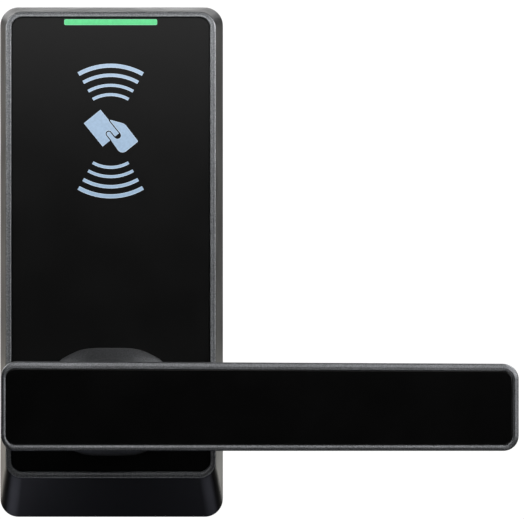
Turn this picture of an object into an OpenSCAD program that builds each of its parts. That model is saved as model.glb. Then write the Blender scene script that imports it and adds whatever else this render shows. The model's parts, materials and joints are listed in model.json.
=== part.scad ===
// Card-reader lever lock for a door, exterior unit.
// A drafted cast housing with a black front panel sits on the door face.
// A wide flat lever turns in it and reaches the latch through a square spindle.
// A small motor moves a clutch ring that joins the lever to the spindle.
//
// Frame: the origin is the spindle axis on the door face, +Z is up, +X is right.
// The front faces -Y, and the spindle leaves through the door along +Y.
// All sizes are in millimetres.

/* [Housing] */
// Width of the housing at the door
body_w = 72.3; // [70:0.1:78]
// Height of the housing's top edge above the spindle axis
body_top = 127.9; // [127.5:0.1:140]
// Reach of the housing's skirt below the spindle axis
body_bottom = 37.6; // [36.5:0.1:44]
// How much narrower each side is at the front than at the door
side_draft = 2.15; // [1.5:0.05:2.5]
// How much lower the top edge is at the front than at the door
top_draft = 1.9; // [1.5:0.1:2.5]
// How much higher the skirt's edge is at the front than at the door
skirt_rise = 12.8; // [10:0.1:14]
// Corner radius of the housing at the door
body_corner = 5.9; // [4:0.1:8]

/* [Front panel] */
// Width of the bright frame at the panel's sides
rim_w = 1.9; // [1.6:0.1:2.2]
// Width of the bright frame above the panel
rim_top_w = 1.7; // [1.5:0.1:2.2]
// Width of the bright frame below the panel
rim_bottom_w = 2.3; // [1.6:0.1:2.6]
// Corner radius of the opening in the frame
opening_corner = 3.6; // [3:0.1:5]
// Gap between the panel and the frame
panel_gap = 0.45; // [0.2:0.05:0.6]
// Height of the card symbol's centre above the spindle axis
symbol_z = 87.5; // [87:0.05:88.5]
// Width of the status bar
status_w = 30; // [20:1:34]
// Height of the status bar
status_h = 1.9; // [1.6:0.1:2]

/* [Lever] */
// Length of the lever's bar from end to end
lever_l = 165.6; // [140:0.1:170]
// Overhang of the bar to the left of the spindle axis
lever_tail = 34.65; // [34:0.05:36]
// Height of the bar
lever_h = 28.2; // [28:0.1:32]
// Thickness of the bar
lever_t = 14; // [12.5:0.5:16]
// Distance from the door face to the bar's back
lever_reach = 46; // [46:0.5:54]
// Corner radius of the bar
lever_corner = 4.9; // [3:0.1:6]
// Angle through which the lever turns
lever_turn = 55; // [50:1:60]

/* [Door side] */
// Side of the square spindle
spindle_side = 8; // [7:1:8]
// Reach of the spindle behind the door face
spindle_reach = 58; // [40:1:90]
// Distance between the two lower mounting posts
post_spacing = 38; // [36:0.5:42]
// Reach of the mounting posts behind the door face
post_reach = 22; // [18:1:40]
// Height of the upper mounting post above the spindle axis
top_post_z = 102; // [80:1:106]

/* [Hidden] */
eps = 0.01;

// Places along Y, from the door face to the front
gasket_t = 0.8;
back_y = -gasket_t;
plate_y = back_y - 2;
wall_y = -22.3;
wall_in_y = wall_y + 2.2;
tape_y = wall_y - 0.3;
panel_y = tape_y - 1.6;
bezel_y = panel_y - 0.4;
neck_y = -24.8;
bar_y = -lever_reach;
bar_front_y = bar_y - lever_t;

// Outlines as [left, right, bottom, top]
half_w = body_w / 2;
front_half_w = half_w - side_draft;
front_top = body_top - top_draft;
front_bottom = -body_bottom + skirt_rise;
wall_t = 2.6;
lip_t = 1;
skirt_wall_t = 3.1;
front_corner = body_corner - 0.5;
opening = [-front_half_w + rim_w, front_half_w - rim_w, front_bottom + rim_bottom_w,
    front_top - rim_top_w];
panel = inset(opening, panel_gap);
panel_corner = opening_corner - panel_gap;
status_top = panel[3] - 0.25;
bar_left = -lever_tail;
bar_right = lever_l - lever_tail;
bar_drop = 1.1;
bar_bottom = -lever_h / 2 - bar_drop;
bar_top = lever_h / 2 - bar_drop;
insert_box = [bar_left + 1.5, bar_right - 1.95, bar_bottom + 1.8, bar_top - 2.2];
insert_corner = 3.1;
recess_y = bar_front_y + 2;

// Shaft, clutch and stop
shaft_r = 7.96;
bushing_in_r = 8.02;
bushing_out_r = 10;
bushing_rear_y = -18.8;
hex_r = 7.9;
hex_gap = 0.2;
hex_front_y = -15;
hex_split_y = -8.2;
hub_front_y = hex_split_y + 0.3;
disc_y = [-16.1, -18.3];
disc_r = 13;
lug_r = 17;
lug_half_w = 3;
pin_r = 1.5;
pin_orbit = 15.5;
stop_gap = 0.05;
ring_front_y = -10.55;
ring_r = 12.5;
ring_sleeve_r = 10.2;
ring_travel = 2.4;
fork_slope = 0.5;
fork_travel = ring_travel / fork_slope;
fork_front_y = -14.2;
fork_rear_y = ring_front_y - 0.05;
prong_in_x = 9.5;
prong_out_x = 12.7;
fork_contact_z = sqrt(ring_r * ring_r - prong_in_x * prong_in_x);
hub_flange_y = -5.4;
journal_r = 6.97;

// Motor and its screw
motor_y = -10.2;
motor_z = 31.5;
screw_r = 2;
screw_z = [17.2, 30];
thread_pitch = 0.8;
frame_box_x = 15;
frame_z = [13.6, 55.6];
frame_ears = [for (x = [-18, 18], z = [24, 48]) [x, z]];

// Reader board
board_y = [-16.4, -18];
board_box = [-26, 26, 56.6, 122.4];
board_screw_at = [for (x = [-22.5, 22.5], z = [59.2, 116.6]) [x, z]];
board_screw_r = 0.95;
plate_screw_at = concat(
    [for (x = [-29.2, 29.2], z = [42, 112]) [x, z]],
    [for (x = [-28.5, 28.5]) [x, -14]]
);
plate_screw_r = 1.3;

// Card symbol: arcs as [outer radius, thickness]
symbol_arcs = [[12.23, 0.95], [15.23, 0.95], [18.56, 1.1], [21.75, 1.3]];
arc_half_angle = 29.5;
card_angle = -51;
card_corner = [-8.68, 2.49];
card_size = [9.66, 6.93];
hand_gap = 0.36;

spring_r = 12.8;
spring_wire_r = 0.9;
spring_y = [-36, -27];
spring_turns = 5;
spring_end_angle = 200;
door_bolt_r = 1.65;

// Screws, holes and places shared by several parts
screw_end_y = -21;
frame_face_y = -16;
ear_front_y = -13.6;
cap_r = 2.4;
socket_r = 1;
post_r = 3.5;
grommet_z = -19;
grommet_r = 5;
hub_hole_r = 9;
shaft_boss_r = 14;
screw_boss_r = 2.8;
status_guide = [-14.6, 14.6, 120.8, 123];
status_slot = [-15.4, 15.4, 120.3, 123.2];
light_window = [-24.5, 24.5, board_box[2] + 5.4, symbol_z + 25.75];
led_row_z = 121.4;
chip_t = 1.2;
led_t = 0.9;
buzzer_at = [14, 72];
header_z = [60, 65.5];
set_screw_y = -41;
set_screw_r = 2.5;
square_x = [-5, 5];
square_front_y = -44.2;
key_x = [-1.25, 1.25];
key_z = [6.8, 9.4];
shaft_clip_y = [-15.1, -15.9];
shaft_groove_r = 7.2;
hub_clip_y = [-0.2, -0.7];
hub_groove_r = 6.4;
spindle_front_y = -6.5;
neck_foot = [-18.4, 18.4, -16.8, 16.8];
neck_wide = [-19.1, 19.1, -17.5, 17.5];
neck_root = [-16.6, 16.6, bar_bottom + 1.2, bar_top - 1];
neck_hollow_r = 15.2;
neck_core_r = 10.4;

// ---- Shared shapes ----

// Extrudes a flat shape drawn in X and Z from back to front
module slab(back, front) {
    translate([0, back, 0]) rotate([90, 0, 0]) linear_extrude(back - front) children();
}

module rod(r, back, front, x = 0, z = 0) {
    translate([x, back, z]) rotate([90, 0, 0]) cylinder(h = back - front, r = r);
}

module tube(r_out, r_in, back, front, x = 0, z = 0) {
    difference() {
        rod(r_out, back, front, x, z);
        rod(r_in, back + eps, front - eps, x, z);
    }
}

// A box given by its limits on each axis
module block(x, y, z) {
    translate([x[0], y[0], z[0]]) cube([x[1] - x[0], y[1] - y[0], z[1] - z[0]]);
}

// Rounded rectangle in X and Z from [left, right, bottom, top]
module rounded(box, r) {
    w = box[1] - box[0];
    h = box[3] - box[2];
    translate([box[0] + r, box[2]]) square([w - 2 * r, h]);
    translate([box[0], box[2] + r]) square([w, h - 2 * r]);
    for (x = [box[0] + r, box[1] - r], z = [box[2] + r, box[3] - r])
        translate([x, z]) circle(r);
}

// Limits measured from a place
function from(place, limits) = [place + limits[0], place + limits[1]];

function inset(box, d) = [box[0] + d, box[1] - d, box[2] + d, box[3] - d];

// Retaining ring with a mouth at the bottom
module c_clip(r_out, r_in, back, front, mouth) {
    difference() {
        tube(r_out, r_in, back, front);
        block([-mouth / 2, mouth / 2], [front - 1, back + 1], [-r_out - 1, 0]);
    }
}

// Wire of round section along points given as [radius, angle, y] about the Y axis
module wire(path, wire_r, sides = 8) {
    last = len(path) - 1;
    spots = [for (p = path) [p[0] * cos(p[1]), p[2], p[0] * sin(p[1])]];
    outward = [for (p = path) [cos(p[1]), 0, sin(p[1])]];
    along = [
        for (i = [0:last])
            let (step = spots[min(i + 1, last)] - spots[max(i - 1, 0)]) step / norm(step)
    ];
    points = [
        for (i = [0:last], k = [0:sides - 1])
            let (a = 360 * k / sides)
                spots[i] + wire_r * (cos(a) * outward[i] + sin(a) * cross(along[i], outward[i]))
    ];
    walls = [
        for (i = [0:last - 1], k = [0:sides - 1])
            let (n = (k + 1) % sides)
                [i * sides + k, i * sides + n, (i + 1) * sides + n, (i + 1) * sides + k]
    ];
    first_cap = [for (k = [0:sides - 1]) sides - 1 - k];
    last_cap = [for (k = [0:sides - 1]) last * sides + k];
    polyhedron(points, concat([first_cap], walls, [last_cap]));
}

// ---- Housing and front ----

module housing_outer() {
    hull() {
        $fn = 32;
        slab(back_y, back_y - lip_t)
            rounded([-half_w, half_w, -body_bottom, body_top], body_corner);
        slab(wall_y + 0.1, wall_y)
            rounded([-front_half_w, front_half_w, front_bottom, front_top], front_corner);
    }
}

module housing_cavity() {
    corner = body_corner - 2.5;
    hull() {
        $fn = 32;
        slab(back_y + eps, back_y - 0.1)
            rounded([-half_w + wall_t, half_w - wall_t, -body_bottom + skirt_wall_t,
                body_top - wall_t], corner);
        slab(wall_in_y + 0.1, wall_in_y)
            rounded([-front_half_w + wall_t, front_half_w - wall_t, front_bottom + 1.7,
                front_top - wall_t], corner);
    }
}

module housing() {
    color("#2c2c2e") difference() {
        union() {
            difference() {
                housing_outer();
                housing_cavity();
            }
            rod(shaft_boss_r, bushing_rear_y, wall_y + 1);
            for (p = stop_pin_spots()) rod(screw_boss_r, -18.9, wall_y + 1, p[0], p[1]);
            for (p = plate_screw_at) rod(screw_boss_r, plate_y, wall_y + 1, p[0], p[1]);
            for (p = board_screw_at) rod(2.3, board_y[1], wall_y + 1, p[0], p[1]);
            for (p = frame_ears) rod(screw_boss_r, frame_face_y, wall_y + 1, p[0], p[1]);
        }
        slab(wall_in_y + 1, wall_y - 1) rounded(light_window, 2);
        slab(wall_in_y + 1, wall_y - 1) rounded(status_slot, 0.8);
        rod(bushing_out_r, -18, wall_y - 1);
        for (p = stop_pin_spots()) rod(pin_r, -18, wall_y + 0.6, p[0], p[1]);
        for (p = plate_screw_at) rod(plate_screw_r, plate_y + 1, -10, p[0], p[1]);
        for (p = board_screw_at) rod(board_screw_r, -17, wall_y + 0.6, p[0], p[1]);
        for (p = frame_ears) rod(plate_screw_r, -15, screw_end_y, p[0], p[1]);
    }
}

module bezel() {
    outer = [-front_half_w, front_half_w, front_bottom, front_top];
    bead = 0.3;
    color("#6a6c70") difference() {
        union() {
            slab(wall_y, bezel_y + bead) rounded(outer, front_corner);
            slab(wall_y, bezel_y) rounded(inset(outer, bead), front_corner - bead);
        }
        slab(wall_y + 1, bezel_y - 1) rounded(opening, opening_corner);
    }
}

module arc_band(r_out, thickness) {
    reach = 2 * r_out;
    intersection() {
        difference() {
            circle(r_out);
            circle(r_out - thickness);
        }
        polygon([
            [0, 0],
            reach * [-sin(arc_half_angle), cos(arc_half_angle)],
            reach * [sin(arc_half_angle), cos(arc_half_angle)]
        ]);
    }
}

// Hand in the card's own axes: along the card, then across it
module hand_shape() {
    thumb = [7.72, 4.12];
    crotch = [9.9, 5.98];
    thumb_r = 0.67;
    crotch_r = 1.13;
    // Fingertips, knuckles, wrist and heel as [along, across, radius]
    back_of_hand = [[4.75, 7.25, 0.2], [9.2, 7.63, 2.5], [15.3, 9.67, 0.3], [13.7, 5, 1.9]];
    difference() {
        hull() {
            $fn = 32;
            for (c = back_of_hand) translate([c[0], c[1]]) circle(c[2]);
            translate([thumb[0] + 1, thumb[1]]) circle(thumb_r);
        }
        translate([-1, thumb[1] - 2])
            square([crotch[0] + 1, 2 + crotch[1] + crotch_r - thumb[1]]);
        translate(crotch) circle(crotch_r, $fn = 48);
    }
    hull() {
        $fn = 32;
        translate(thumb) circle(thumb_r);
        translate([crotch[0] + 1.3, thumb[1]]) circle(thumb_r);
    }
}

module card_symbol() {
    translate(card_corner) rotate(card_angle) {
        difference() {
            square(card_size);
            offset(r = hand_gap, $fn = 32) hand_shape();
        }
        hand_shape();
    }
}

module symbol_shapes() {
    translate([0, symbol_z]) {
        for (flip = [0, 1], a = symbol_arcs) mirror([0, flip]) arc_band(a[0], a[1]);
        card_symbol();
    }
}

module status_shape() {
    rounded([-status_w / 2, status_w / 2, status_top - status_h, status_top], 0.45);
}

module front_panel() {
    color("#0b0b0d") slab(tape_y, panel_y) difference() {
        rounded(panel, panel_corner);
        circle(15.3);
        symbol_shapes();
        status_shape();
    }
}

module panel_tape() {
    outer = [panel[0] + 0.5, panel[1] - 0.5, panel[2] + 0.5, 119];
    color("#1c1c1c") slab(wall_y, tape_y) difference() {
        rounded(outer, 3);
        rounded(inset(outer, 3), 1.5);
    }
}

module symbol_windows() {
    color("#b9cfe8") slab(tape_y, panel_y) symbol_shapes();
}

module status_window() {
    color("#63e08f") slab(tape_y, panel_y) status_shape();
}

// ---- Reader electronics ----

module light_box() {
    cells = [[-22, -9], [-8, 8], [9, 22]];
    color("white") difference() {
        block([-12.6, 12.6], [tape_y + 0.1, board_y[1]], from(symbol_z, [-23, 23]));
        for (c = cells)
            block([-11.6, 11.6], [tape_y - 1, board_y[1] + 1], from(symbol_z, c));
    }
}

module status_light_guide() {
    color("white")
        block([status_guide[0], status_guide[1]], [tape_y + 0.1, board_y[1] - 1.1],
            [status_guide[2], status_guide[3]]);
}

module reader_board() {
    color("#1f5a38") slab(board_y[0], board_y[1]) difference() {
        rounded(board_box, 2);
        for (p = board_screw_at) translate(p) circle(board_screw_r);
    }
}

module antenna_coil() {
    track = 0.6;
    color("#b87333") slab(board_y[1], board_y[1] - 0.2) for (i = [0, 1]) {
        loop = inset([-22, 22, 62.4, 113], i);
        difference() {
            rounded(loop, 2);
            rounded(inset(loop, track), 2 - track);
        }
    }
}

module symbol_leds() {
    color("#e8f0ff") for (x = [-6, 6], z = [symbol_z - 15.5, symbol_z, symbol_z + 15.5])
        block(from(x, [-1.6, 1.6]), from(board_y[1], [-led_t, 0]), from(z, [-1.4, 1.4]));
}

module status_leds() {
    color("#9fe8b8") for (x = [-12:6:12])
        block(from(x, [-1.2, 1.2]), from(board_y[1], [-led_t, 0]), from(led_row_z, [-0.8, 0.8]));
}

module board_chips() {
    // Each chip as [x, z, half width, half height]
    chips = [[-10, 92, 4.5, 4.5], [8, 96, 3, 3], [10, 84, 2.5, 1.6], [-14, 76, 2, 3.2]];
    color("#202224") for (c = chips)
        block(from(c[0], [-c[2], c[2]]), from(board_y[0], [0, chip_t]), from(c[1], [-c[3], c[3]]));
}

module buzzer() {
    color("#18181a") difference() {
        rod(4.5, board_y[0] + 4, board_y[0], buzzer_at[0], buzzer_at[1]);
        rod(0.8, board_y[0] + 5, board_y[0] + 3, buzzer_at[0], buzzer_at[1]);
    }
}

// Open-topped socket on the board's back
module header(x, z) {
    difference() {
        block(x, from(board_y[0], [0, 6]), z);
        block(x + [1, -1], from(board_y[0], [1, 7]), z + [0.8, -0.8]);
    }
}

module harness_header() {
    color("#e9e4d4") header([-20, -6], header_z);
}

module motor_header() {
    color("#e9e4d4") header([5, 12], header_z);
}

module board_screws() {
    color("silver") for (p = board_screw_at) {
        rod(board_screw_r, board_y[0], screw_end_y, p[0], p[1]);
        difference() {
            rod(1.8, board_y[0] + 1.2, board_y[0], p[0], p[1]);
            rod(0.7, board_y[0] + 2, board_y[0] + 0.5, p[0], p[1], $fn = 6);
        }
    }
}

// ---- Bearings, stops and clutch drive ----

module shaft_bushing() {
    leg = [spring_r * cos(spring_end_angle), spring_r * sin(spring_end_angle)];
    color("#b08d57") difference() {
        union() {
            rod(15, wall_y, wall_y - 1.1);
            rod(bushing_out_r, bushing_rear_y, wall_y);
        }
        rod(bushing_in_r, bushing_rear_y + 1, wall_y - 2);
        rod(spring_wire_r + 0.1, wall_y + 1, wall_y - 2, leg[0], leg[1]);
    }
}

// Spots in X and Z of the rest stop and of the end stop
function stop_pin_spots() =
    let (side = lug_half_w + pin_r + stop_gap, a = lever_turn + 0.2)
        [[side, -pin_orbit],
         [-side * cos(a) - pin_orbit * sin(a), side * sin(a) - pin_orbit * cos(a)]];

module stop_pins() {
    color("silver") for (p = stop_pin_spots()) rod(pin_r, -15.9, wall_y + 0.6, p[0], p[1]);
}

module mechanism_frame() {
    color("#3c3e42") difference() {
        union() {
            block([-frame_box_x, frame_box_x], [frame_face_y, -5], frame_z);
            for (p = frame_ears) {
                rod(3, ear_front_y, frame_face_y, p[0], p[1]);
                block([min(p[0], 0), max(p[0], 0)], [frame_face_y, ear_front_y],
                    from(p[1], [-3, 3]));
            }
        }
        block([-13, 13], [-14.5, 0], [0, motor_z - 1.3]);
        block([-6.1, 6.1], [-15.3, 0], [motor_z, motor_z + 22.9]);
        for (side = [-1, 1])
            block(from(side * 10.5, [-2.8, 2.8]), [-14.5, 0], [motor_z + 1.5, frame_z[1] - 1.5]);
        translate([0, motor_y, motor_z - 2]) cylinder(h = 3, r = 2.6);
        for (p = frame_ears) rod(plate_screw_r, 0, -17, p[0], p[1]);
    }
}

module mechanism_cover() {
    color("silver") difference() {
        block([-frame_box_x, frame_box_x], [-5, -4.2], [frame_z[0] + 0.4, frame_z[1]]);
        block([-5, 5], [-6, -3], [36, 50]);
    }
}

module mechanism_screws() {
    color("silver") for (p = frame_ears) {
        rod(plate_screw_r, ear_front_y, screw_end_y, p[0], p[1]);
        difference() {
            rod(cap_r, ear_front_y + 1.5, ear_front_y, p[0], p[1]);
            rod(socket_r, -11, -13, p[0], p[1], $fn = 6);
        }
    }
}

module clutch_motor() {
    gearbox_z = motor_z + 9;
    color("#c9ccd0") difference() {
        union() {
            block([-5.9, 5.9], from(motor_y, [-5, 5]), [motor_z, gearbox_z]);
            intersection() {
                translate([0, motor_y, gearbox_z]) cylinder(h = 13.5, r = 5.9);
                block([-6, 6], from(motor_y, [-5, 5]), [gearbox_z, gearbox_z + 14]);
            }
        }
        translate([0, motor_y, motor_z - 1]) cylinder(h = 5.2, r = 1.56);
    }
}

module motor_screw() {
    rings = floor((screw_z[1] - screw_z[0]) / thread_pitch);
    crest = [
        for (i = [0:rings - 1], side = [0, 1])
            [screw_r - 0.35 * (1 - side), screw_z[0] + thread_pitch * (i + 0.5 * side)]
    ];
    color("#d9d9dc") translate([0, motor_y, 0]) {
        rotate_extrude() polygon(concat(
            [[0, screw_z[0]]], crest, [[screw_r - 0.35, screw_z[1]], [0, screw_z[1]]]));
        translate([0, 0, screw_z[1]]) cylinder(h = 5, r = 1.5);
    }
}

// Side outline of one prong, in Y and Z
module prong_outline() {
    land_y = fork_rear_y - ring_travel;
    polygon([
        [fork_front_y, -3], [land_y, -3], [land_y, fork_contact_z - fork_travel],
        [fork_rear_y, fork_contact_z], [fork_rear_y, 14.1], [fork_front_y, 14.1]
    ]);
}

module shift_fork() {
    color("#d8d2bd") difference() {
        union() {
            for (x = [-prong_out_x, prong_in_x])
                translate([x, 0, 0]) rotate([90, 0, 90])
                    linear_extrude(prong_out_x - prong_in_x) prong_outline();
            block([-prong_out_x, prong_out_x], [fork_front_y, fork_rear_y], [14, 18.6]);
            block([-6.4, 6.4], [fork_front_y, -6.2], [18.5, 25]);
        }
        translate([0, motor_y, 13]) cylinder(h = 13, r = screw_r + 0.08);
    }
}

// A hexagon bar along Y with one corner up
module hex_bar(r, back, front) {
    translate([0, back, 0]) rotate([90, 30, 0]) cylinder(h = back - front, r = r, $fn = 6);
}

module clutch_ring() {
    rear_y = ring_front_y + 4.75;
    color("#a8aab0") difference() {
        union() {
            rod(ring_r, ring_front_y + 1.2, ring_front_y);
            rod(ring_sleeve_r, rear_y, ring_front_y);
        }
        hex_bar(hex_r + hex_gap, rear_y + 1, ring_front_y - 1);
    }
}

module clutch_spring() {
    turns = 3;
    y = [ring_front_y + 1.2 + 0.5, hub_flange_y - 0.5];
    color("#8f9298") wire(
        [for (i = [0:18 * turns]) [11.3, 20 * i, y[0] + (y[1] - y[0]) * i / (18 * turns)]], 0.45);
}

// ---- Back of the unit ----

module back_plate() {
    outline = [-half_w + 3.4, half_w - 3.4, -body_bottom + 4.5, body_top - 3.3];
    color("#9a9da2") difference() {
        slab(back_y, plate_y) difference() {
            rounded(outline, 3);
            circle(hub_hole_r);
            for (x = [-1, 1]) translate([x * post_spacing / 2, 0]) circle(post_r);
            translate([0, top_post_z]) circle(post_r);
            translate([0, grommet_z]) circle(grommet_r);
            for (p = plate_screw_at) translate(p) circle(plate_screw_r);
        }
        for (p = plate_screw_at) rod(cap_r, back_y + 1, back_y - 0.9, p[0], p[1]);
    }
}

module back_plate_screws() {
    color("silver") for (p = plate_screw_at) {
        rod(plate_screw_r, back_y - 0.9, -10, p[0], p[1]);
        difference() {
            rod(cap_r, back_y, back_y - 0.9, p[0], p[1]);
            rod(socket_r, back_y + 1, back_y - 0.5, p[0], p[1], $fn = 6);
        }
    }
}

module post(x, z) {
    color("#c4c6ca") difference() {
        union() {
            rod(5, plate_y, plate_y - 1, x, z);
            rod(post_r, post_reach, plate_y, x, z);
        }
        rod(door_bolt_r, post_reach + 1, 2, x, z);
    }
}

module mounting_posts() {
    for (side = [-1, 1]) post(side * post_spacing / 2, 0);
}

module top_post() {
    post(0, top_post_z);
}

module rear_bushing() {
    color("#b08d57") difference() {
        union() {
            rod(11, plate_y, plate_y - 1.5);
            rod(hub_hole_r, back_y, plate_y);
        }
        rod(journal_r + 0.05, back_y + 1, plate_y - 3);
    }
}

module cable_grommet() {
    color("#26262a") difference() {
        union() {
            rod(6.4, plate_y, plate_y - 1.2, 0, grommet_z);
            rod(grommet_r, back_y, plate_y, 0, grommet_z);
            rod(6.2, -0.1, back_y, 0, grommet_z);
        }
        rod(3.5, 1, plate_y - 3, 0, grommet_z);
    }
}

module door_gasket() {
    outline = [-half_w + 0.7, half_w - 0.7, -body_bottom + 0.7, body_top - 0.7];
    color("#1b1b1d") slab(0, back_y) difference() {
        rounded(outline, body_corner - 0.7);
        rounded(inset(outline, 3.9), 2);
    }
}

// ---- Lever and its shaft ----

module neck() {
    hull() {
        $fn = 32;
        slab(neck_y, neck_y - 0.4) rounded(neck_foot, 11);
        slab(neck_y - 1.2, neck_y - 5) rounded(neck_wide, 11.5);
        slab(bar_y + 1, bar_y - 0.5) rounded(neck_root, 9);
    }
}

module lever_bar() {
    cells = 6;
    rib = 2;
    hollow = inset(insert_box, 2);
    pitch = (hollow[1] - hollow[0] + rib) / cells;
    difference() {
        slab(bar_y, bar_front_y)
            rounded([bar_left, bar_right, bar_bottom, bar_top], lever_corner);
        slab(recess_y, bar_front_y - 1) rounded(insert_box, insert_corner);
        for (i = [0:cells - 1])
            block(from(hollow[0] + i * pitch, [0, pitch - rib]), [recess_y - 1, bar_y - 2.4],
                [hollow[2], hollow[3]]);
    }
}

module lever_handle() {
    color("#4a4c50") difference() {
        union() {
            lever_bar();
            difference() {
                neck();
                rod(neck_hollow_r, neck_y + 1, -37);
            }
            rod(neck_core_r, neck_y - 0.4, -38);
        }
        block(square_x, [square_front_y - 0.2, neck_y + 1], square_x);
        translate([0, set_screw_y, -22]) cylinder(h = 17, r = set_screw_r);
        rod(spring_wire_r + 0.1, -36.5, -40.5, 0, spring_r);
    }
}

module insert_adhesive() {
    color("#2a2a2c") slab(recess_y, recess_y - 0.3)
        rounded(inset(insert_box, 0.6), insert_corner - 0.6);
}

module lever_insert() {
    color("#060607") slab(recess_y - 0.3, bar_front_y + 0.25)
        rounded(inset(insert_box, 0.05), insert_corner - 0.05);
}

module lever_set_screw() {
    color("#33343a") difference() {
        translate([0, set_screw_y, -12.6]) cylinder(h = 7.6, r = set_screw_r);
        translate([0, set_screw_y, -13]) cylinder(h = 3.4, r = 1.4, $fn = 6);
    }
}

module drive_shaft() {
    color("#b4b6ba") difference() {
        union() {
            block(square_x, [square_front_y, neck_y + 1], square_x);
            rod(shaft_r, hex_front_y, neck_y);
            hex_bar(hex_r, hex_split_y, hex_front_y - 1);
        }
        tube(9, shaft_groove_r, shaft_clip_y[0], shaft_clip_y[1]);
        block(key_x, [disc_y[1], disc_y[0] + 0.2], [key_z[0], 9]);
        rod(3.05, hex_split_y + 1, -11);
    }
}

module thrust_washer() {
    color("#c0a060") tube(12.5, 8.05, disc_y[1] - 0.05, bushing_rear_y + 0.05);
}

module stop_disc() {
    color("#8a8d92") difference() {
        union() {
            rod(disc_r, disc_y[0], disc_y[1]);
            block([-lug_half_w, lug_half_w], [disc_y[1], disc_y[0]], [-lug_r, -disc_r + 1]);
        }
        rod(shaft_r, disc_y[0] + 1, disc_y[1] - 1);
        block(key_x, [disc_y[1] - 1, disc_y[0] + 1], key_z);
    }
}

module disc_key() {
    color("silver") block(key_x, [disc_y[1], disc_y[0]], key_z);
}

module disc_clip() {
    color("#55585e") c_clip(9.6, shaft_groove_r, shaft_clip_y[0], shaft_clip_y[1], 8);
}

// Torsion spring about the shaft, with a leg into the neck and one into the bushing
module return_spring() {
    turn = 360 * spring_turns + spring_end_angle - 90;
    steps = 100;
    coil = [
        for (i = [0:steps])
            [spring_r, 90 + turn * i / steps, spring_y[0] + (spring_y[1] - spring_y[0]) * i / steps]
    ];
    color("#8f9298") wire(concat(
        [[spring_r, 90, -40], [spring_r, 90, -37.5]], coil,
        [[spring_r, 90 + turn, -25.5], [spring_r, 90 + turn, wall_y - 0.2]]), spring_wire_r);
}

module spindle_hub() {
    color("#9c9ea4") difference() {
        union() {
            hex_bar(hex_r, hub_flange_y + 0.5, hub_front_y);
            rod(12.4, hub_flange_y + 1, hub_flange_y);
            rod(journal_r, -0.05, hub_flange_y);
            rod(3, hub_front_y + 0.5, -10.5);
        }
        slab(1, spindle_front_y) square(spindle_side, center = true);
        tube(9, hub_groove_r, hub_clip_y[0], hub_clip_y[1]);
    }
}

module spindle() {
    color("#b4b6ba") slab(spindle_reach, spindle_front_y) square(spindle_side, center = true);
}

module hub_clip() {
    color("#55585e") c_clip(8.6, hub_groove_r, hub_clip_y[0], hub_clip_y[1], 7);
}

housing();
bezel();
front_panel();
panel_tape();
symbol_windows();
status_window();
light_box();
status_light_guide();
reader_board();
antenna_coil();
symbol_leds();
status_leds();
board_chips();
buzzer();
harness_header();
motor_header();
board_screws();
shaft_bushing();
stop_pins();
mechanism_frame();
mechanism_cover();
mechanism_screws();
clutch_motor();
back_plate();
back_plate_screws();
mounting_posts();
top_post();
rear_bushing();
cable_grommet();
door_gasket();
lever_handle();
insert_adhesive();
lever_insert();
lever_set_screw();
drive_shaft();
thrust_washer();
stop_disc();
disc_key();
disc_clip();
return_spring();
spindle_hub();
spindle();
hub_clip();
clutch_ring();
clutch_spring();
shift_fork();
motor_screw();
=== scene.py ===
import json
import math

import bmesh
import bpy
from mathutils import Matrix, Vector


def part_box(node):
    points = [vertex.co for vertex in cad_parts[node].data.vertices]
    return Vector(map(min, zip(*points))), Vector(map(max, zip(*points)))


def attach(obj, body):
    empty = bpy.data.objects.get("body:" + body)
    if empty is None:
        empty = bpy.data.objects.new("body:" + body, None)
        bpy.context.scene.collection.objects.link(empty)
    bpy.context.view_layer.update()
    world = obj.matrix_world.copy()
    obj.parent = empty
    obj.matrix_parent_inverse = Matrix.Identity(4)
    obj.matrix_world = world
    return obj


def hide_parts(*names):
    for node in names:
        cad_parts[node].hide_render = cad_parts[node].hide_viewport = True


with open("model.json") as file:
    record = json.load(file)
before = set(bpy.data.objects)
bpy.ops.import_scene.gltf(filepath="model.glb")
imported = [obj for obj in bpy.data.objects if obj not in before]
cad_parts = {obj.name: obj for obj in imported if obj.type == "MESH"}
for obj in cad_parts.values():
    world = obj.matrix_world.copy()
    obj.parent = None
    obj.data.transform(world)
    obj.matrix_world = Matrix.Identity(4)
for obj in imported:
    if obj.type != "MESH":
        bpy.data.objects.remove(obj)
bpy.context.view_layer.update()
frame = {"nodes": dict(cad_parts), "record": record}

# The card-reader lever lock's looks. Lengths below are in millimetres, in the frame of the CAD
# model: the spindle axis is along Y through the origin, the front faces -Y and Z is up.
MM = 0.001
FRONT_R = 5.4       # corner radius of the housing's front edge and of the bright frame on it
INLAY_R = 3.1       # corner radius of the opening that the lever's inlay lies in
BACKDROP = 1.05     # strength of the white that the camera sees behind the lock
SURROUND = 0.006    # strength of the surround that lights the lock
FLOOR_GLOW = 0.75
WARM = (1, 0.94, 0.84)
IVORY = (1, 0.99, 0.93)
COOL = (0.8, 0.82, 1)
WHITE = (1, 1, 1)
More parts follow.
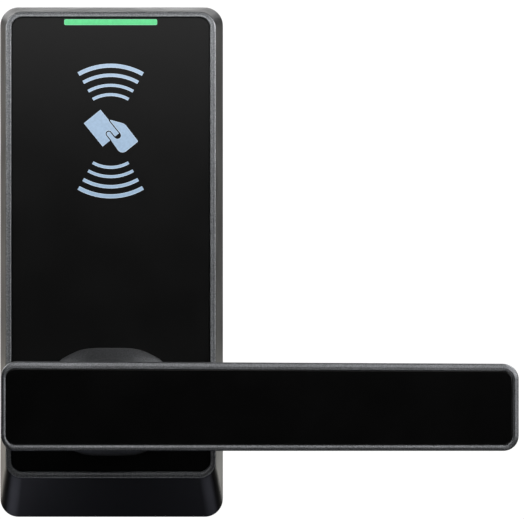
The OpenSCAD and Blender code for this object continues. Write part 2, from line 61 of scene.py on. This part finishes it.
# Soft light cards as (name, place, target, size, stops, colour). At 0 stops a card gives one watt per
# square metre, and each stop doubles that.
CARDS = [
    ("key", (20, -300, 180), (10, -30, 110), (300, 100), 2.75, WHITE),
    ("front_right", (600, -700, 300), (40, -30, 40), (300, 500), 4, WHITE),
    ("low_front", (60, -500, -260), (40, -30, 20), (500, 120), 2.5, WHITE),
    ("left_shoulder", (-200, -60, 160), (-10, -35, 14), (120, 120), 4, WHITE),
    ("right_shoulder", (200, -60, 160), (10, -35, 14), (120, 120), 4.5, WHITE),
    ("back_top", (0, 420, 205), (0, -20, 127), (240, 90), 3, WHITE),
    ("back_left", (-420, 360, 40), (-30, -20, 20), (240, 300), 3.5, WARM),
    ("back_right", (420, 360, 40), (30, -20, 20), (240, 300), 3, IVORY),
    ("back_fill", (-600, 700, 600), (0, 0, 40), (300, 300), 5.5, WHITE),
    ("back_left_low", (-85, 200, -40), (-36, -15, -20), (60, 100), 1.5, WARM),
    ("back_right_low", (85, 200, -40), (36, -15, -20), (60, 100), 1.5, IVORY),
    ("under_left", (-70, 36, -140), (-30, -12, -45), (66, 100), 1, COOL),
    ("under_right", (75, 36, -140), (34, -12, -45), (56, 100), 0.5, COOL),
    ("under_middle", (8, 36, -140), (5, -12, -45), (66, 100), -2.5, COOL),
]


def limits(node):
    """A CAD node's box in millimetres as (lowest corner, highest corner)."""
    low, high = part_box(node)
    return Vector(low) / MM, Vector(high) / MM


# ---------------------------------------------------------------- camera, light and stage

def make_camera():
    """Looks straight at the lock's front from far away, as the photograph does."""
    distance = 3690
    view_width = 170.3
    middle_x, middle_z = 48.85, 46.0
    data = bpy.data.cameras.new("camera")
    data.sensor_width = 36
    data.lens = data.sensor_width * distance / view_width
    data.clip_end = 20
    camera = bpy.data.objects.new("camera", data)
    camera.location = Vector((middle_x, -distance, middle_z)) * MM
    camera.rotation_euler = (math.pi / 2, 0, 0)
    bpy.context.scene.collection.objects.link(camera)
    bpy.context.scene.camera = camera


def make_lights():
    """Soft cards that the camera doesn't see: in front, above, under and behind the lock."""
    for name, place, target, size, stops, colour in CARDS:
        data = bpy.data.lights.new(name, "AREA")
        data.shape = "RECTANGLE"
        data.size, data.size_y = [side * MM for side in size]
        data.energy = 2 ** stops * data.size * data.size_y
        data.color = colour
        light = bpy.data.objects.new(name, data)
        light.location = Vector(place) * MM
        aim = Vector(target) - Vector(place)
        light.rotation_euler = aim.to_track_quat("-Z", "Y").to_euler()
        light.visible_camera = False
        bpy.context.scene.collection.objects.link(light)


def make_world():
    """White to the camera, and a dim even surround to everything else."""
    white = (1, 1, 1, 1)
    pale_blue = (0.92, 0.95, 1, 1)
    world = bpy.data.worlds.new("studio")
    world.use_nodes = True
    tree = world.node_tree
    tree.nodes.clear()
    out = tree.nodes.new("ShaderNodeOutputWorld")
    seen = tree.nodes.new("ShaderNodeBackground")
    seen.inputs["Color"].default_value = white
    seen.inputs["Strength"].default_value = BACKDROP
    lit = tree.nodes.new("ShaderNodeBackground")
    lit.inputs["Color"].default_value = pale_blue
    lit.inputs["Strength"].default_value = SURROUND
    path = tree.nodes.new("ShaderNodeLightPath")
    mix = tree.nodes.new("ShaderNodeMixShader")
    tree.links.new(path.outputs["Is Camera Ray"], mix.inputs["Fac"])
    tree.links.new(lit.outputs[0], mix.inputs[1])
    tree.links.new(seen.outputs[0], mix.inputs[2])
    tree.links.new(mix.outputs[0], out.inputs["Surface"])
    bpy.context.scene.world = world


def make_floor():
    """A pale floor under the lock, low enough to stay out of the front view.

    It glows so that it stays pale, and neither lights the lock nor shows in its gloss.
    """
    floor_z = -150
    half = 1500
    mesh = bpy.data.meshes.new("floor")
    corners = [(-half, -half), (half, -half), (half, half), (-half, half)]
    mesh.from_pydata([(x * MM, y * MM, floor_z * MM) for x, y in corners], [], [(0, 1, 2, 3)])
    floor = bpy.data.objects.new("floor", mesh)
    bpy.context.scene.collection.objects.link(floor)
    paint = grained("floor_paint", (0.80, 0.80, 0.79), 0.6, grain_mm=3, contrast=0.02)
    shader = paint.node_tree.nodes["Principled BSDF"]
    shader.inputs["Emission Color"].default_value = (1, 1, 0.99, 1)
    shader.inputs["Emission Strength"].default_value = FLOOR_GLOW
    mesh.materials.append(paint)
    floor.visible_glossy = False
    floor.visible_diffuse = False


# ---------------------------------------------------------------- materials

def blank_material(name):
    """A new material as (material, node tree, shader, place in object coordinates)."""
    material = bpy.data.materials.new(name)
    material.use_nodes = True
    tree = material.node_tree
    shader = tree.nodes["Principled BSDF"]
    place = tree.nodes.new("ShaderNodeTexCoord").outputs["Object"]
    return material, tree, shader, place


def noise(tree, place, size_mm, detail=3, stretch=(1, 1, 1)):
    """Noise whose features are about size_mm across, longer where stretch is over 1."""
    mapping = tree.nodes.new("ShaderNodeMapping")
    mapping.inputs["Scale"].default_value = [1 / s for s in stretch]
    tree.links.new(place, mapping.inputs["Vector"])
    texture = tree.nodes.new("ShaderNodeTexNoise")
    texture.inputs["Scale"].default_value = 1 / (size_mm * MM)
    texture.inputs["Detail"].default_value = detail
    tree.links.new(mapping.outputs[0], texture.inputs["Vector"])
    return texture.outputs["Fac"]


def flakes(tree, place, size_mm):
    """Small cells of random brightness, like flakes in a metallic lacquer."""
    texture = tree.nodes.new("ShaderNodeTexVoronoi")
    texture.inputs["Scale"].default_value = 1 / (size_mm * MM)
    tree.links.new(place, texture.inputs["Vector"])
    grey = tree.nodes.new("ShaderNodeRGBToBW")
    tree.links.new(texture.outputs["Color"], grey.inputs[0])
    return grey.outputs[0]


def ramp(tree, factor, first, last, low=0.35, high=0.65):
    """Goes from the first colour to the last as factor goes from low to high."""
    node = tree.nodes.new("ShaderNodeValToRGB")
    node.color_ramp.elements[0].position = low
    node.color_ramp.elements[1].position = high
    node.color_ramp.elements[0].color = (*first, 1)
    node.color_ramp.elements[1].color = (*last, 1)
    tree.links.new(factor, node.inputs["Fac"])
    return node.outputs["Color"]


def remap(tree, value, from_low, from_high, low=0, high=1):
    """Goes evenly from low to high as value goes from from_low to from_high."""
    node = tree.nodes.new("ShaderNodeMapRange")
    node.inputs["From Min"].default_value = from_low
    node.inputs["From Max"].default_value = from_high
    node.inputs["To Min"].default_value = low
    node.inputs["To Max"].default_value = high
    tree.links.new(value, node.inputs["Value"])
    return node.outputs[0]


def mix_colours(tree, factor, first, last, kind="MIX"):
    """Mixes two colours. A factor or colour is either a constant or another node's output."""
    node = tree.nodes.new("ShaderNodeMix")
    node.data_type = "RGBA"
    node.blend_type = kind
    for socket, value in (("Factor", factor), ("A", first), ("B", last)):
        if isinstance(value, bpy.types.NodeSocket):
            tree.links.new(value, node.inputs[socket])
        else:
            node.inputs[socket].default_value = value
    return node.outputs["Result"]


def separate(tree, vector, axis):
    """One axis of a vector."""
    node = tree.nodes.new("ShaderNodeSeparateXYZ")
    tree.links.new(vector, node.inputs[0])
    return node.outputs[axis]


def bump(tree, shader, height, depth_mm):
    """Fine relief, depth_mm deep where height goes from 0 to 1."""
    node = tree.nodes.new("ShaderNodeBump")
    node.inputs["Distance"].default_value = depth_mm * MM
    tree.links.new(height, node.inputs["Height"])
    tree.links.new(node.outputs[0], shader.inputs["Normal"])


def shade(colour, factor):
    """The colour made lighter or darker by that factor."""
    return tuple(min(1, c * factor) for c in colour)


def wear(tree, place, size_mm, roughness, swing):
    """Roughness that changes slowly over the surface, as from handling and wiping."""
    low, high = 0.3, 0.7    # most of the noise lies between these
    slow = noise(tree, place, size_mm, 2)
    return remap(tree, slow, low, high, roughness - swing, roughness + swing)


def grained(name, colour, roughness, metallic=0, grain_mm=0.5, contrast=0.1, bump_mm=0,
            stretch=(1, 1, 1), specular=0.5, coat=0, rough_swing=0.05):
    """A finish with fine grain in its colour, slow wear in its gloss, and optional relief."""
    wear_mm = 18
    coat_roughness = 0.05
    material, tree, shader, place = blank_material(name)
    grain = noise(tree, place, grain_mm, 4, stretch)
    tone = ramp(tree, grain, shade(colour, 1 - contrast), shade(colour, 1 + contrast))
    tree.links.new(tone, shader.inputs["Base Color"])
    rough = wear(tree, place, wear_mm, roughness, rough_swing)
    tree.links.new(rough, shader.inputs["Roughness"])
    shader.inputs["Metallic"].default_value = metallic
    shader.inputs["Specular IOR Level"].default_value = specular
    shader.inputs["Coat Weight"].default_value = coat
    shader.inputs["Coat Roughness"].default_value = coat_roughness
    if bump_mm:
        bump(tree, shader, grain, bump_mm)
    return material


def lacquer(name, colour, roughness, metallic):
    """Metallic lacquer: random flakes in the colour and a fine orange peel in the relief."""
    flake_mm = 0.3
    contrast = 0.25
    peel_mm = 0.42
    peel_depth_mm = 0.01
    wear_mm = 25
    rough_swing = 0.04
    material, tree, shader, place = blank_material(name)
    flake = flakes(tree, place, flake_mm)
    tone = ramp(tree, flake, shade(colour, 1 - contrast), shade(colour, 1 + contrast), 0.2, 0.8)
    tree.links.new(tone, shader.inputs["Base Color"])
    rough = wear(tree, place, wear_mm, roughness, rough_swing)
    tree.links.new(rough, shader.inputs["Roughness"])
    shader.inputs["Metallic"].default_value = metallic
    bump(tree, shader, noise(tree, place, peel_mm), peel_depth_mm)
    return material


def lit_window(name, bottom, top, border, low_z, high_z):
    """A diffuser lit from behind, brighter at the top, with a painted highlight line where the
    surface tilts to its edge.
    """
    mottle_mm = 0.7
    facing, tilted = -1, -0.985     # Y of the surface's normal on its flat front and on its border
    material, tree, shader, place = blank_material(name)
    height = remap(tree, separate(tree, place, "Z"), low_z * MM, high_z * MM)
    glow = ramp(tree, height, bottom, top, 0, 1)
    normal = place.node.outputs["Normal"]
    # Painted highlight: the tilted border takes a brighter colour than the glow, a bright line drawn
    # round each window
    painted_edge_mask = remap(tree, separate(tree, normal, "Y"), facing, tilted)
    glow_and_painted_edge = mix_colours(tree, painted_edge_mask, glow, (*border, 1))
    mottle = ramp(tree, noise(tree, place, mottle_mm, 2), (0.9, 0.9, 0.9), (1, 1, 1))
    light = mix_colours(tree, 1, glow_and_painted_edge, mottle, "MULTIPLY")
    tree.links.new(light, shader.inputs["Emission Color"])
    shader.inputs["Emission Strength"].default_value = 1
    shader.inputs["Base Color"].default_value = (0.02, 0.02, 0.02, 1)
    shader.inputs["Roughness"].default_value = 0.3
    return material


def make_materials():
    """One material for each of the record's slots."""
    symbol_low, symbol_high = limits("symbol_windows")
    status_low, status_high = limits("status_window")
    steel = dict(metallic=1, grain_mm=0.12, stretch=(1, 12, 1), contrast=0.12, bump_mm=0.004,
                 rough_swing=0.02)
    plastic = dict(grain_mm=0.35, contrast=0.06, bump_mm=0.01)
    polished = dict(grain_mm=6, rough_swing=0.02)
    # Each finish is its colour, its roughness and what else differs from the usual
    finishes = {
        "housing_paint": ((0.006, 0.006, 0.0065), 0.37, dict(
            grain_mm=0.3, contrast=0.18, bump_mm=0.006, specular=0.4)),
        "panel_black": ((0.002, 0.002, 0.002), 0.33, dict(specular=0.34, **polished)),
        "insert_black": ((0.002, 0.002, 0.002), 0.25, polished),
        "tape": ((0.012, 0.012, 0.012), 0.9, dict(grain_mm=0.2, bump_mm=0.03)),
        "white_plastic": ((0.78, 0.78, 0.75), 0.5, plastic),
        "circuit_board": ((0.01, 0.09, 0.04), 0.35, dict(
            grain_mm=0.8, contrast=0.3, bump_mm=0.02, coat=0.4)),
        "copper": ((0.75, 0.38, 0.2), 0.35, dict(metallic=1)),
        "led_lens": ((0.8, 0.84, 0.8), 0.15, dict(coat=0.6)),
        "chip_black": ((0.02, 0.02, 0.022), 0.55, plastic),
        "connector": ((0.72, 0.66, 0.5), 0.45, plastic),
        "zinc_steel": ((0.62, 0.63, 0.64), 0.34, steel),
        "bronze": ((0.5, 0.34, 0.17), 0.42, dict(
            metallic=1, grain_mm=0.25, contrast=0.3, bump_mm=0.01)),
        "dark_plastic": ((0.03, 0.03, 0.034), 0.5, plastic),
        "fork_plastic": ((0.62, 0.58, 0.45), 0.45, plastic),
        "motor_steel": ((0.6, 0.6, 0.6), 0.28, steel),
        "shaft_steel": ((0.52, 0.53, 0.54), 0.3, steel),
        "spring_steel": ((0.3, 0.3, 0.32), 0.3, steel),
        "rubber": ((0.014, 0.014, 0.015), 0.75, dict(grain_mm=0.3, contrast=0.2, bump_mm=0.02)),
    }
    made = {name: grained(name, colour, roughness, **rest)
            for name, (colour, roughness, rest) in finishes.items()}
    made["rim_paint"] = lacquer("rim_paint", (0.30, 0.31, 0.325), 0.42, 0.8)
    made["lever_paint"] = lacquer("lever_paint", (0.2, 0.205, 0.215), 0.4, 0.85)
    # Each window's third colour is the painted highlight line along its border
    made["symbol_light"] = lit_window("symbol_light", (0.33, 0.47, 0.64), (0.46, 0.61, 0.80),
                                      (0.66, 0.80, 0.95), symbol_low.z, symbol_high.z)
    made["status_light"] = lit_window("status_light", (0.11, 0.72, 0.26), (0.14, 0.80, 0.32),
                                      (0.30, 0.90, 0.50), status_low.z, status_high.z)
    return made


# ---------------------------------------------------------------- mesh tools

def arc(centre, radius, start, end, steps):
    """Points on an arc in a plane, with angles in degrees, both ends included."""
    angles = [math.radians(start + (end - start) * i / steps) for i in range(steps + 1)]
    return [(centre[0] + radius * math.cos(a), centre[1] + radius * math.sin(a)) for a in angles]


def mix_values(a, b, share):
    """Each value that share of the way from a's to b's."""
    return [p + (q - p) * share for p, q in zip(a, b)]


def outline(low, high):
    """[left, right, bottom, top] of a box between two corners."""
    return [low.x, high.x, low.z, high.z]


def grown(box, left, right, bottom, top):
    """[left, right, bottom, top] moved outward by that much on each side."""
    return [box[0] - left, box[1] + right, box[2] - bottom, box[3] + top]


def shrunk(box, inset):
    """[left, right, bottom, top] moved inward by inset on every side."""
    return grown(box, -inset, -inset, -inset, -inset)


def round_rect(box, radius):
    """Outline in X and Z of [left, right, bottom, top] with round corners."""
    steps = 12
    left, right, bottom, top = box
    corners = [(right - radius, bottom + radius, -90), (right - radius, top - radius, 0),
               (left + radius, top - radius, 90), (left + radius, bottom + radius, 180)]
    return [p for x, z, a in corners for p in arc((x, z), radius, a, a + 90, steps)]


def soft_octagon(half_x, half_z, centre_z, share):
    """An eight-sided outline in X and Z with soft corners, and an ellipse where share is 0."""
    steps = 96
    softness = 24                       # a lower one rounds the corners more
    slope_x, slope_z = 0.412, 0.785     # how the slanted sides lean
    points = []
    for i in range(steps):
        c = math.cos(2 * math.pi * i / steps)
        s = math.sin(2 * math.pi * i / steps)
        sides = (abs(c), abs(s), slope_x * abs(c) + slope_z * abs(s))
        reach = sum(v ** softness for v in sides) ** (-share / softness)
        points.append((half_x * reach * c, centre_z + half_z * reach * s))
    return points


def ring(points, y):
    """The points of an outline in X and Z, placed at y."""
    return [Vector((x, y, z)) * MM for x, z in points]


def link(name, mesh):
    """Makes an object of a finished bmesh."""
    data = bpy.data.meshes.new(name)
    mesh.to_mesh(data)
    mesh.free()
    piece = bpy.data.objects.new(name, data)
    bpy.context.scene.collection.objects.link(piece)
    return piece


def loft(name, rings, closed=False):
    """A solid through the rings, capped at both ends unless the rings close on themselves."""
    mesh = bmesh.new()
    loops = [[mesh.verts.new(p) for p in points] for points in rings]
    pairs = list(zip(loops, loops[1:]))
    if closed:
        pairs.append((loops[-1], loops[0]))
    else:
        mesh.faces.new(loops[0])
        mesh.faces.new(loops[-1])
    for one, two in pairs:
        for i in range(len(one)):
            j = (i + 1) % len(one)
            mesh.faces.new((one[i], one[j], two[j], two[i]))
    bmesh.ops.recalc_face_normals(mesh, faces=mesh.faces)
    return link(name, mesh)


def circle(centre, radius, steps):
    """Points round a whole circle, with the first one not repeated at the end."""
    return arc(centre, radius, 0, 360 - 360 / steps, steps - 1)


def rod(name, radius, back, front):
    """A cylinder along the spindle's axis."""
    points = circle((0, 0), radius, 64)
    return loft(name, [ring(points, back), ring(points, front)])


def combine(piece, other, operation):
    """Joins or cuts a piece with another solid, and deletes that other one."""
    modifier = piece.modifiers.new("combine", "BOOLEAN")
    modifier.operation = operation
    modifier.solver = "EXACT"
    modifier.object = other
    shown = bpy.context.evaluated_depsgraph_get()
    result = bpy.data.meshes.new_from_object(piece.evaluated_get(shown))
    piece.modifiers.clear()
    old = piece.data
    piece.data = result
    bpy.data.meshes.remove(old)
    bpy.data.objects.remove(other)


def smooth(piece):
    """Shades round faces smoothly and keeps flat faces flat."""
    sharp = math.radians(30)
    piece.data.shade_smooth()
    piece.data.set_sharp_from_angle(angle=sharp)
    modifier = piece.modifiers.new("flat faces stay flat", "WEIGHTED_NORMAL")
    modifier.keep_sharp = True


def settle(piece, body, node, slot, materials):
    """Gives a finished piece its material and its body, and hides the CAD node that it stands for."""
    piece.data.materials.clear()
    piece.data.materials.append(materials[slot])
    smooth(piece)
    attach(piece, body)
    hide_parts(node)


# ---------------------------------------------------------------- the lock's pieces

def make_housing(materials):
    """Drafted casting with the sloped skirt: a straight lip at the door, hollow inside."""
    low, high = limits("housing")
    front_low, front_high = limits("bezel")
    back_y, front_y = high.y, low.y
    back_box = outline(low, high)
    front_box = outline(front_low, front_high)
    back_r, front_r = 5.9, FRONT_R
    lip = 1                 # how far the sides go straight before the draft begins
    bend = 1.2              # length of the soft bend between the lip and the draft
    back_edge = 0.15
    front_edge = 0.12

    def section(y, inset=0):
        """The outline at y: full size along the lip, then a soft bend into the draft."""
        past = back_y - lip + bend / 2 - y
        slope = min(max(past, 0), bend) ** 2 / (2 * bend) + max(past - bend, 0)
        share = slope / (back_y - lip - front_y)
        box = shrunk(mix_values(back_box, front_box, share), inset)
        return ring(round_rect(box, back_r + (front_r - back_r) * share - inset), y)

    steps = 6
    bend_y = [back_y - lip + bend * (0.5 - k / steps) for k in range(steps + 1)]
    draft_length = front_y + front_edge - bend_y[-1]
    draft_y = [bend_y[-1] + draft_length * k / steps for k in range(1, steps + 1)]
    rings = [section(back_y, back_edge), section(back_y - back_edge)]
    rings += [section(y) for y in bend_y + draft_y]
    rings += [section(front_y, front_edge)]
    casting = loft("housing_casting", rings)

    wall = 2.6
    skirt_wall = 3.1        # the bottom wall where the skirt meets the door
    skirt_front_wall = 1.7  # the bottom wall where the skirt meets the front
    front_wall = 2.2
    hollow_r = back_r - 2.5
    past = 1                # how far a cutting shape reaches past the surface that it opens
    inner_y = front_y + front_wall
    rear = round_rect(grown(back_box, -wall, -wall, -skirt_wall, -wall), hollow_r)
    face = round_rect(grown(front_box, -wall, -wall, -skirt_front_wall, -wall), hollow_r)
    hollow = loft("hollow", [ring(rear, back_y + past), ring(face, inner_y)])
    combine(casting, hollow, "DIFFERENCE")

    # Openings in the front wall: a large one for the symbol's light, a slot for the status light
    window = grown(outline(*limits("reader_board")), -1.5, -1.5, -5.4, -9)
    slot = grown(outline(*limits("status_light_guide")), 0.8, 0.8, 0.5, 0.2)
    for box, radius in ((window, 2), (slot, 0.8)):
        opening = [ring(round_rect(box, radius), y) for y in (inner_y + past, front_y - past)]
        combine(casting, loft("opening", opening), "DIFFERENCE")

    # The front bearing's seat: a boss behind the front wall with the bearing's bore through it
    boss_r, bore_r = 14, 10
    boss_rise = 1.3
    overlap = 0.5
    combine(casting, rod("boss", boss_r, inner_y + boss_rise, inner_y - overlap), "UNION")
    combine(casting, rod("bore", bore_r, inner_y + boss_rise + past, front_y - past), "DIFFERENCE")
    settle(casting, "escutcheon", "housing", "housing_paint", materials)


def panel_opening():
    """The opening in the bright frame: the panel's outline and the gap round it."""
    gap = 0.45
    corner = 3.6
    return shrunk(outline(*limits("front_panel")), -gap), corner


def make_bezel(materials):
    """Frame round the panel: an almost flat face with a fine raised line along each edge."""
    low, high = limits("bezel")
    outer = outline(low, high)
    opening, opening_r = panel_opening()
    width = opening[0] - outer[0]
    front, foot = low.y, high.y
    groove = 0.13       # the frame's side stands this far inside the housing's
    edge = 0.3          # radius of the raised line along each edge
    valley = 0.05       # depth of the face between the two lines
    steps = 9
    first, last = groove + edge, width - edge
    # (distance from the outline, y) across the frame's side
    profile = [(groove, foot)] + arc((first, front + edge), edge, 180, 265, 6)
    for k in range(1, steps):
        share = k / steps
        dip = valley * math.sin(math.pi * share) ** 2
        profile.append((first + (last - first) * share, front + dip))
    profile += arc((last, front + edge), edge, 275, 360, 6) + [(width, foot)]
    rings = []
    for across, y in profile:
        share = across / width
        radius = FRONT_R + (opening_r - FRONT_R) * share
        rings.append(ring(round_rect(mix_values(outer, opening, share), radius), y))
    settle(loft("bezel_frame", rings, closed=True), "escutcheon", "bezel", "rim_paint", materials)


def make_window(name, node, slot, materials):
    """A lit window, its CAD outline with a soft raised border along every edge."""
    border = 0.26
    rise = 0.05
    weld = 0.0005       # corners closer than this are one
    level = 0.01        # a face this close to the front plane is a front face
    front = limits(node)[0].y * MM
    mesh = bmesh.new()
    mesh.from_mesh(frame["nodes"][node].data)
    bmesh.ops.remove_doubles(mesh, verts=mesh.verts, dist=weld * MM)
    bmesh.ops.dissolve_limit(mesh, angle_limit=math.radians(1), verts=mesh.verts,
                             edges=mesh.edges)
    faces = [f for f in mesh.faces if abs(f.calc_center_median().y - front) < level * MM]
    bmesh.ops.inset_individual(mesh, faces=faces, thickness=border * MM, depth=0,
                               use_even_offset=True)
    for face in faces:
        for vert in face.verts:
            vert.co.y += rise * MM
    settle(link(name, mesh), "escutcheon", node, slot, materials)


def lever_boxes():
    """Outlines of the bar and of its inlay as [left, right, bottom, top]."""
    low, high = limits("lever_handle")
    inlay = outline(*limits("lever_insert"))
    rim_below, rim_above = 1.85, 2.25
    return [low.x, high.x, inlay[2] - rim_below, inlay[3] + rim_above], inlay


def taper(piece):
    """Lets the bar's top edge fall a little towards the lever's tip; its bottom edge stays."""
    left, right, bottom, top = [side * MM for side in lever_boxes()[0]]
    rise_left, rise_right = 0.38 * MM, -0.45 * MM
    for vert in piece.data.vertices:
        along = (vert.co.x - left) / (right - left)
        up = (vert.co.z - bottom) / (top - bottom)
        vert.co.z += (rise_left + (rise_right - rise_left) * along) * up


def rim_profile():
    """Across the bar's rim, from outside: (share of its width, depth behind its crest)."""
    width = 2
    crest = 0.56            # share of the width at which the rim is highest
    lean_degrees = 21       # how the face outside the crest falls away
    edge = 0.5
    lean = math.radians(lean_degrees)
    depth = edge / math.cos(lean) + (crest * width - edge) * math.tan(lean)
    outside = [(d / width, y)
               for d, y in arc((edge, depth), edge, 180, 270 - lean_degrees, 6)]
    inside = [(crest + 0.04, 0), (0.93, 0.2), (0.98, 0.3), (1, 0.42)]
    return outside + [(crest, 0)] + inside


def make_lever(materials):
    """One casting: a flat bar with a raised rim, on a neck that swells towards the housing."""
    bar, inlay = lever_boxes()
    low, high = limits("lever_handle")
    thickness = 14
    front = low.y
    back = front + thickness
    floor = limits("insert_adhesive")[1].y
    bar_r = 4.9
    back_edge = 1.2
    back_inset = 2.5

    def section(share, y, inset=0):
        """share is 0 at the bar's outline and 1 at the inlay's."""
        box = shrunk(mix_values(bar, inlay, share), inset)
        return ring(round_rect(box, bar_r + (INLAY_R - bar_r) * share - inset), y)

    rounded = arc((back_edge, back - back_edge), back_edge, 90, 180, 6)
    rings = [section(0, back, back_inset), section(0, back, back_edge)]
    rings += [section(0, y, inset) for inset, y in rounded]
    rings += [section(0, back - thickness * share) for share in (0.25, 0.5, 0.75)]
    rings += [section(share, front + depth) for share, depth in rim_profile()]
    rings += [section(1, floor)]
    casting = loft("lever_casting", rings)
    taper(casting)
    combine(casting, make_neck(high.y), "UNION")

    screw_low, screw_high = limits("lever_set_screw")
    screw_y = (screw_low.y + screw_high.y) / 2
    hole_r = 2.55
    below_neck = -22
    head_room = 0.5
    hole = circle((0, screw_y), hole_r, 48)
    rings = [[Vector((x, y, z)) * MM for x, y in hole]
             for z in (below_neck, screw_low.z + head_room)]
    combine(casting, loft("hole", rings), "DIFFERENCE")
    settle(casting, "lever", "lever_handle", "lever_paint", materials)


def make_neck(base_y):
    """The neck: an eight-sided foot, a smooth waist, and a root that spreads into the bar."""
    # (distance from the foot's end, half width, half height, middle height, share of corners)
    foot = [(0, 16.6, 16.6, 0.1, 1), (0.2, 17.0, 17.0, 0.1, 1), (0.6, 17.3, 17.3, 0.1, 1),
            (1.2, 17.4, 17.4, 0.1, 1)]
    root = [(15.2, 15.2, 14.3, -0.2, 0), (17.5, 15.6, 13.8, -0.6, 0.2),
            (19.5, 16.8, 13.4, -0.9, 0.4), (20.5, 17.5, 13.3, -0.9, 0.6),
            (21.2, 18.6, 13.3, -0.9, 0.8), (23, 18.6, 13.3, -0.9, 0.8)]
    steps = 16
    waist = []
    for k in range(1, steps):
        swell = (1 + math.cos(math.pi * k / steps)) / 2
        distance = foot[-1][0] + (root[0][0] - foot[-1][0]) * k / steps
        waist.append([distance] + mix_values(root[0][1:], foot[-1][1:], swell))
    return loft("neck", [ring(soft_octagon(half_x, half_z, centre_z, share), base_y - distance)
                         for distance, half_x, half_z, centre_z, share in foot + waist + root])


def make_inlay(materials):
    """Polished black inlay with softened edges, a little below the rim."""
    inlay = lever_boxes()[1]
    low, high = limits("lever_insert")
    corner = INLAY_R - 0.05
    edge = 0.3
    profile = [(0, high.y)] + arc((edge, low.y + edge), edge, 180, 270, 5)
    rings = [ring(round_rect(shrunk(inlay, inset), corner - inset), y) for inset, y in profile]
    piece = loft("lever_inlay", rings)
    taper(piece)
    settle(piece, "lever", "lever_insert", "insert_black", materials)


def dress_cad_nodes(materials):
    """Every CAD node takes its slot's material, and machined parts get broken edges."""
    corner = math.radians(40)   # faces that meet at more than this have an edge to break
    edges = {"back_plate": 0.25, "spindle": 0.5, "mounting_posts": 0.3, "top_post": 0.3,
             "door_gasket": 0.2, "cable_grommet": 0.3, "back_plate_screws": 0.12,
             "shift_fork": 0.2, "mechanism_frame": 0.2, "mechanism_cover": 0.15}
    for entry in frame["record"]["subparts"]:
        node = frame["nodes"][entry["node"]]
        node.data.materials.clear()
        node.data.materials.append(materials[entry["material_slot"]])
        if entry["node"] in edges:
            modifier = node.modifiers.new("broken edges", "BEVEL")
            modifier.width = edges[entry["node"]] * MM
            modifier.segments = 3
            modifier.limit_method = "ANGLE"
            modifier.angle_limit = corner


make_camera()
make_lights()
make_world()
make_floor()
bpy.context.scene.view_settings.view_transform = "Standard"
surfaces = make_materials()
dress_cad_nodes(surfaces)
make_housing(surfaces)
make_bezel(surfaces)
make_window("symbol_lenses", "symbol_windows", "symbol_light", surfaces)
make_window("status_lens", "status_window", "status_light", surfaces)
make_lever(surfaces)
make_inlay(surfaces)
